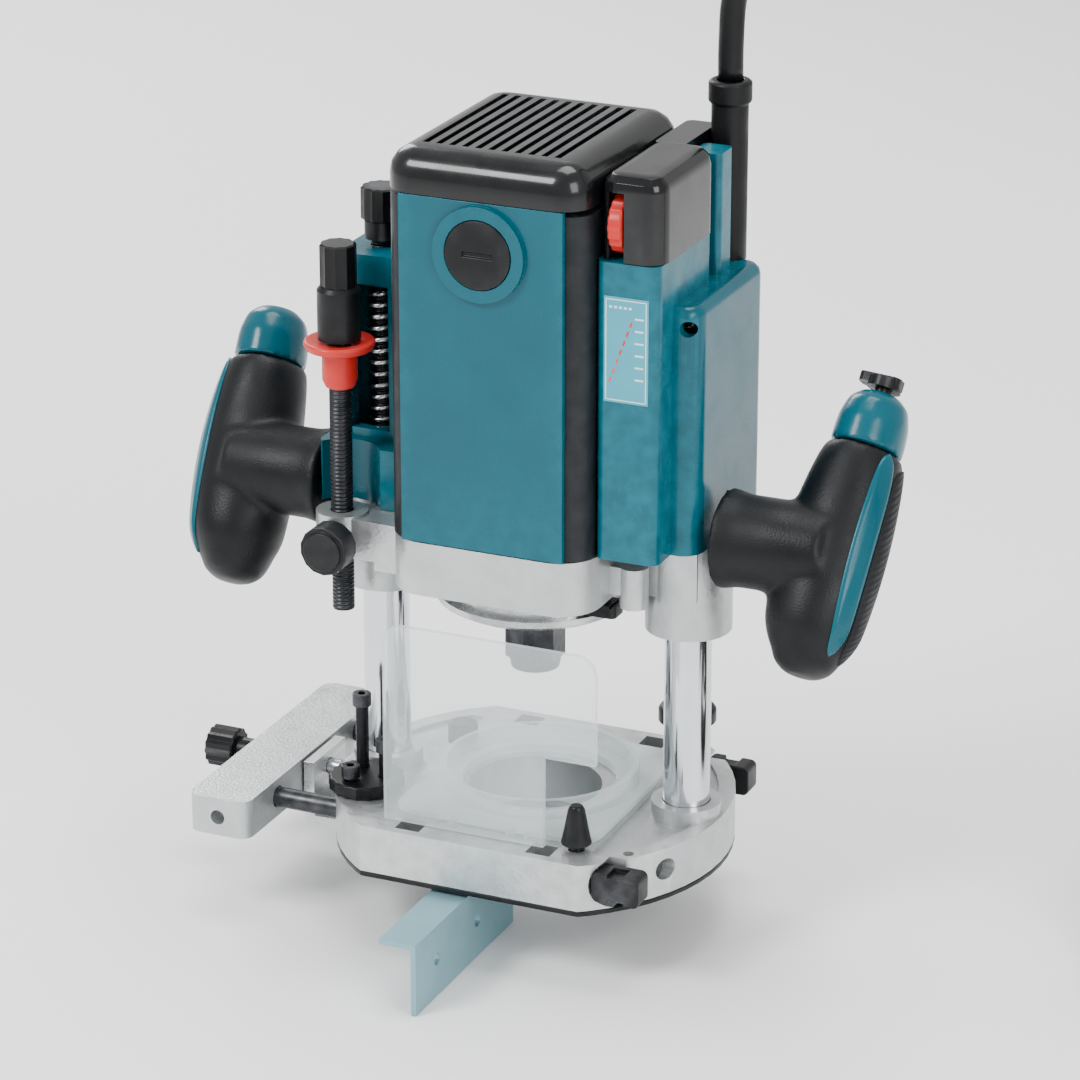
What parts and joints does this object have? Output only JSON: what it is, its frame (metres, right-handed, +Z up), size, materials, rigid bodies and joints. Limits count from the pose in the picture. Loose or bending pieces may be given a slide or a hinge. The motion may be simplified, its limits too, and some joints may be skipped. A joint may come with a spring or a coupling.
{
  "type": "plunge router",
  "caption": "Hand-held plunge router with a sprung head on columns, side grips, depth stop, turret, straight guide and mains cord.",
  "frame": {"origin": "on the spindle axis, at the underside of the sole", "axes": "+X to the right-hand grip, +Y to the back, +Z up along the spindle"},
  "size_m": [0.4961, 0.2387, 0.4357],
  "materials": {
    "alloy": "fine satin casting",
    "chrome": "polished",
    "steel": "ground",
    "black_steel": "blackened",
    "teal_plastic": "semi-gloss moulded",
    "black_plastic": "semi-gloss moulded",
    "charcoal_plastic": "fine grain",
    "rubber": "matte",
    "red_plastic": "semi-gloss",
    "clear_plastic": "clear polished",
    "pale_steel": "pale satin coat",
    "winding": "varnished wire and laminations"
  },
  "bodies": {
    "base": {"base_casting": "alloy", "sole_plate": "black_plastic", "column_left": "chrome", "column_right": "chrome", "limit_rod": "black_steel", "dust_ring": "clear_plastic", "chip_deflector": "clear_plastic", "plunge_spring_left": "steel", "plunge_spring_right": "steel", "power_cord": "rubber", "cord_coil": "rubber", "plug": "rubber"},
    "plate_knob_body": {"plate_knob": "black_plastic"},
    "cone_knob_body": {"cone_knob": "black_plastic"},
    "rear_knob_body": {"rear_knob": "black_plastic"},
    "limit_knob_body": {"limit_knob": "black_plastic"},
    "front_clamp": {"rod_clamp_front": "black_plastic"},
    "rear_clamp": {"rod_clamp_rear": "black_plastic"},
    "turret": {"turret_disc": "black_plastic", "stop_bolt_tall": "black_steel", "stop_bolt_middle": "black_steel", "stop_bolt_low": "black_steel"},
    "guide": {"guide_bar": "alloy", "guide_rod_front": "black_steel", "guide_rod_rear": "black_steel"},
    "feed": {"feed_knob": "black_plastic", "feed_screw": "steel"},
    "fence_body": {"fence": "pale_steel", "fence_carriage": "alloy"},
    "head": {"motor_bracket": "alloy", "bearing_retainer": "alloy", "field_case": "charcoal_plastic", "front_panel": "teal_plastic", "rear_panel": "teal_plastic", "brush_cap_front": "black_plastic", "brush_cap_rear": "black_plastic", "top_cap": "black_plastic", "left_tower": "teal_plastic", "right_tower": "teal_plastic", "control_cover": "black_plastic", "cord_guard": "rubber", "handle_left": "black_plastic", "handle_cap_left": "teal_plastic", "handle_right": "black_plastic", "handle_cap_right": "teal_plastic", "stator": "steel", "lower_bearing": "steel"},
    "spindle": {"spindle_shaft": "steel", "armature": "winding", "collet_nut": "black_steel", "collet": "steel"},
    "dial": {"speed_dial": "red_plastic"},
    "trigger_body": {"trigger": "black_plastic"},
    "trigger_lock": {"lock_lever": "black_plastic"},
    "plunge_lock": {"plunge_lock_lever": "black_plastic"},
    "shaft_lock_body": {"shaft_lock": "black_plastic"},
    "stop": {"stop_pole": "black_steel", "stop_pointer": "red_plastic"},
    "stop_knob": {"fine_adjust_knob": "black_plastic"},
    "stop_clamp": {"pole_clamp_knob": "black_plastic"}
  },
  "joints": [
    {"name": "plunge", "type": "slide", "parent": "base", "child": "head", "axis": [0, 0, -1], "range_m": [0, 0.06], "stiffness_N_per_m": 1000, "springref_m": -0.06, "deforming": ["plunge_spring_left", "plunge_spring_right"]},
    {"name": "plate_knob_turn", "type": "hinge", "parent": "base", "child": "plate_knob_body", "pos_m": [-0.04, 0.02, 0.024], "axis": [0, 0, 1], "range_deg": [-180, 180]},
    {"name": "cone_knob_turn", "type": "hinge", "parent": "base", "child": "cone_knob_body", "pos_m": [0.0385, -0.049, 0.024], "axis": [0, 0, 1], "range_deg": [-180, 180]},
    {"name": "rear_knob_turn", "type": "hinge", "parent": "base", "child": "rear_knob_body", "pos_m": [0.043, 0.05, 0.03], "axis": [0, 0, 1], "range_deg": [-180, 180]},
    {"name": "limit_knob_turn", "type": "hinge", "parent": "base", "child": "limit_knob_body", "pos_m": [-0.063, 0, 0.24], "axis": [0, 0, 1], "range_deg": [-180, 180]},
    {"name": "front_clamp_turn", "type": "hinge", "parent": "base", "child": "front_clamp", "pos_m": [0.059, -0.051, 0.0125], "axis": [0, -1, 0], "range_deg": [-180, 180]},
    {"name": "rear_clamp_turn", "type": "hinge", "parent": "base", "child": "rear_clamp", "pos_m": [0.059, 0.051, 0.0125], "axis": [0, 1, 0], "range_deg": [-180, 180]},
    {"name": "turret_turn", "type": "hinge", "parent": "base", "child": "turret", "pos_m": [-0.0583, -0.0295, 0.024], "axis": [0, 0, 1], "range_deg": [-120, 120]},
    {"name": "guide_slide", "type": "slide", "parent": "base", "child": "guide", "axis": [1, 0, 0], "range_m": [-0.09, 0.005]},
    {"name": "feed_turn", "type": "hinge", "parent": "guide", "child": "feed", "pos_m": [-0.13, 0, 0.0125], "axis": [1, 0, 0], "range_deg": [-10, 1210]},
    {"name": "fence_feed", "type": "slide", "parent": "guide", "child": "fence_body", "axis": [1, 0, 0], "range_m": [0, 0.005]},
    {"name": "spindle_turn", "type": "hinge", "parent": "head", "child": "spindle", "pos_m": [0, 0, 0.15], "axis": [0, 0, 1], "continuous": true},
    {"name": "speed_dial_turn", "type": "hinge", "parent": "head", "child": "dial", "pos_m": [0.048, -0.0285, 0.2615], "axis": [1, 0, 0], "range_deg": [-140, 140]},
    {"name": "trigger_press", "type": "slide", "parent": "head", "child": "trigger_body", "axis": [0.0218, -0.8342, 0.5511], "range_m": [0, 0.004], "stiffness_N_per_m": 1500, "springref_m": -0.002},
    {"name": "trigger_lock_turn", "type": "hinge", "parent": "head", "child": "trigger_lock", "pos_m": [0.125, 0.035, 0.187], "axis": [0.0723, 0.5511, 0.8313], "range_deg": [-15, 15], "stiffness_Nm_per_rad": 0.2},
    {"name": "plunge_lock_turn", "type": "hinge", "parent": "head", "child": "plunge_lock", "pos_m": [-0.063, 0.0215, 0.115], "axis": [0, 1, 0], "range_deg": [0, 45]},
    {"name": "shaft_lock_press", "type": "slide", "parent": "head", "child": "shaft_lock_body", "axis": [-1, 0, 0], "range_m": [0, 0.004], "stiffness_N_per_m": 1200, "springref_m": -0.002},
    {"name": "stop_slide", "type": "slide", "parent": "head", "child": "stop", "axis": [0, 0, 1], "range_m": [-0.025, 0.04]},
    {"name": "fine_adjust_turn", "type": "hinge", "parent": "stop", "child": "stop_knob", "pos_m": [-0.066, -0.031, 0.22], "axis": [0, 0, 1], "range_deg": [-180, 180]},
    {"name": "stop_clamp_turn", "type": "hinge", "parent": "head", "child": "stop_clamp", "pos_m": [-0.0625, -0.0415, 0.1265], "axis": [0, -1, 0], "range_deg": [-180, 180]}
  ],
  "couplings": [
    {"joint": "feed_turn", "follows": "fence_feed", "rad_per_m": 4188.8}
  ]
}
